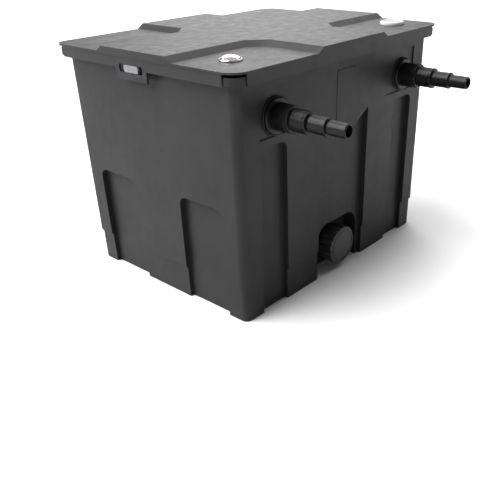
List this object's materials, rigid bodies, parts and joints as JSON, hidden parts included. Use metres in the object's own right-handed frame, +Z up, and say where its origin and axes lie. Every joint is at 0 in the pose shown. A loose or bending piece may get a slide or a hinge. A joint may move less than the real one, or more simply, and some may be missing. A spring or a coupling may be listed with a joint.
{
  "type": "pond filter box",
  "caption": "Flow-through pond filter box with lift-off latched lid, stepped hose tails, capped drain, foam cartridges and ball media.",
  "frame": {"origin": "middle of the footprint, on the ground", "axes": "+Z up, X along the long walls, -Y the side with the hose tails and the drain"},
  "size_m": [0.53, 0.566, 0.4],
  "materials": {
    "tub_plastic": "moulded, fine grain",
    "lid_plastic": "moulded, fine grain",
    "seal_rubber": "matt",
    "latch_plastic": "smooth",
    "indicator_metal": "bright",
    "clear_cover": "clear",
    "float_red": "smooth",
    "thermometer_white": "smooth",
    "dial_face": "printed",
    "needle_red": "satin",
    "fitting_plastic": "glossy, barbed",
    "cap_plastic": "satin",
    "inner_dark": "moulded",
    "inner_grey": "pipe",
    "foam_coarse": "open-cell foam",
    "foam_fine": "open-cell foam",
    "media_blue": "moulded"
  },
  "bodies": {
    "tub": {"tub": "tub_plastic", "inlet_tail_left": "fitting_plastic", "inlet_gasket_left": "seal_rubber", "inlet_locknut_left": "fitting_plastic", "inlet_tail_right": "fitting_plastic", "inlet_gasket_right": "seal_rubber", "inlet_locknut_right": "fitting_plastic", "outlet_spigot": "fitting_plastic", "outlet_gasket": "seal_rubber", "outlet_locknut": "fitting_plastic", "drain_spigot": "fitting_plastic", "drain_gasket": "seal_rubber", "drain_locknut": "fitting_plastic", "partition": "inner_dark", "cartridge_plate": "inner_dark", "deck_posts": "inner_grey", "media_grid": "inner_dark", "media_balls": "media_blue"},
    "lid": {"lid": "lid_plastic", "lid_seal": "seal_rubber", "indicator_bezel": "indicator_metal", "indicator_dome": "clear_cover", "thermometer_case": "thermometer_white", "thermometer_dial": "dial_face", "thermometer_lens": "clear_cover", "thermometer_nut": "inner_grey"},
    "latch_left": {"latch_slider_left": "latch_plastic"},
    "latch_right": {"latch_slider_right": "latch_plastic"},
    "indicator_float": {"indicator_float": "float_red"},
    "thermometer_needle": {"thermometer_needle": "needle_red"},
    "drain_seal": {"drain_cap_seal": "seal_rubber"},
    "drain_cap": {"drain_cap": "cap_plastic"},
    "cartridge_1": {"foam_block_1": "foam_coarse", "core_tube_1": "inner_grey", "core_cap_1": "inner_dark"},
    "cartridge_2": {"foam_block_2": "foam_fine", "core_tube_2": "inner_grey", "core_cap_2": "inner_dark"},
    "cartridge_3": {"foam_block_3": "foam_coarse", "core_tube_3": "inner_grey", "core_cap_3": "inner_dark"},
    "cartridge_4": {"foam_block_4": "foam_fine", "core_tube_4": "inner_grey", "core_cap_4": "inner_dark"}
  },
  "joints": [
    {"name": "lid_lift", "type": "slide", "parent": "tub", "child": "lid", "axis": [0, 0, 1], "range_m": [0, 0.15]},
    {"name": "latch_left_slide", "type": "slide", "parent": "lid", "child": "latch_left", "axis": [0, 1, 0], "range_m": [0, 0.009]},
    {"name": "latch_right_slide", "type": "slide", "parent": "lid", "child": "latch_right", "axis": [0, 1, 0], "range_m": [0, 0.009]},
    {"name": "indicator_rise", "type": "slide", "parent": "lid", "child": "indicator_float", "axis": [0, 0, 1], "range_m": [0, 0.005]},
    {"name": "needle_turn", "type": "hinge", "parent": "lid", "child": "thermometer_needle", "pos_m": [0.206, -0.143, 0.394], "axis": [0, 0, -1], "range_deg": [-60, 120], "stiffness_Nm_per_rad": 0.0005},
    {"name": "drain_seal_slide", "type": "slide", "parent": "tub", "child": "drain_seal", "axis": [0, -1, 0], "range_m": [0, 0.018]},
    {"name": "drain_cap_turn", "type": "hinge", "parent": "drain_seal", "child": "drain_cap", "pos_m": [0, -0.19, 0.044], "axis": [0, -1, 0], "range_deg": [0, 1080]},
    {"name": "cartridge_1_lift", "type": "slide", "parent": "tub", "child": "cartridge_1", "axis": [0, 0, 1], "range_m": [0, 0.03]},
    {"name": "cartridge_2_lift", "type": "slide", "parent": "tub", "child": "cartridge_2", "axis": [0, 0, 1], "range_m": [0, 0.03]},
    {"name": "cartridge_3_lift", "type": "slide", "parent": "tub", "child": "cartridge_3", "axis": [0, 0, 1], "range_m": [0, 0.03]},
    {"name": "cartridge_4_lift", "type": "slide", "parent": "tub", "child": "cartridge_4", "axis": [0, 0, 1], "range_m": [0, 0.03]}
  ],
  "couplings": [
    {"joint": "drain_seal_slide", "follows": "drain_cap_turn", "m_per_rad": 0.00095493}
  ]
}
